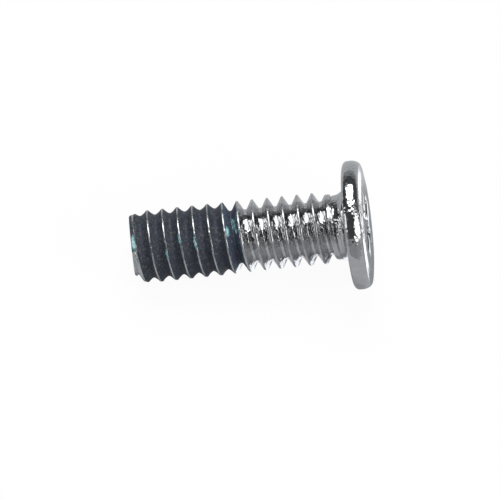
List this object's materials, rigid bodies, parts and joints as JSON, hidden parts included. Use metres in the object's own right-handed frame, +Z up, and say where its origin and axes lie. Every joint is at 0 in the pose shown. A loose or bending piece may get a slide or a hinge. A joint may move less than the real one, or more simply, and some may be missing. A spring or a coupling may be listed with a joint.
{
  "type": "machine screw",
  "caption": "Small plated machine screw with a thin round head, a cross recess, a fine right-hand thread and a dark nylon locking patch round the thread nearest the tip.",
  "frame": {"origin": "under the middle of the screw, on the surface that it lies on", "axes": "+X along the screw's length towards its head, in the plane of the surface; +Z up; the screw's own axis lies in the XZ plane and rises towards the head by 7.8 degrees"},
  "size_m": [0.0066, 0.0034, 0.0034],
  "materials": {
    "plated_steel": "bright nickel plate over rolled and cold-headed steel, faintly hammered on the edge of the head",
    "locking_nylon": "fused nylon powder, dark blue-black and speckled, teal where it is thin"
  },
  "bodies": {
    "root": {"screw": "plated_steel", "nylon_patch": "locking_nylon"}
  },
  "joints": []
}
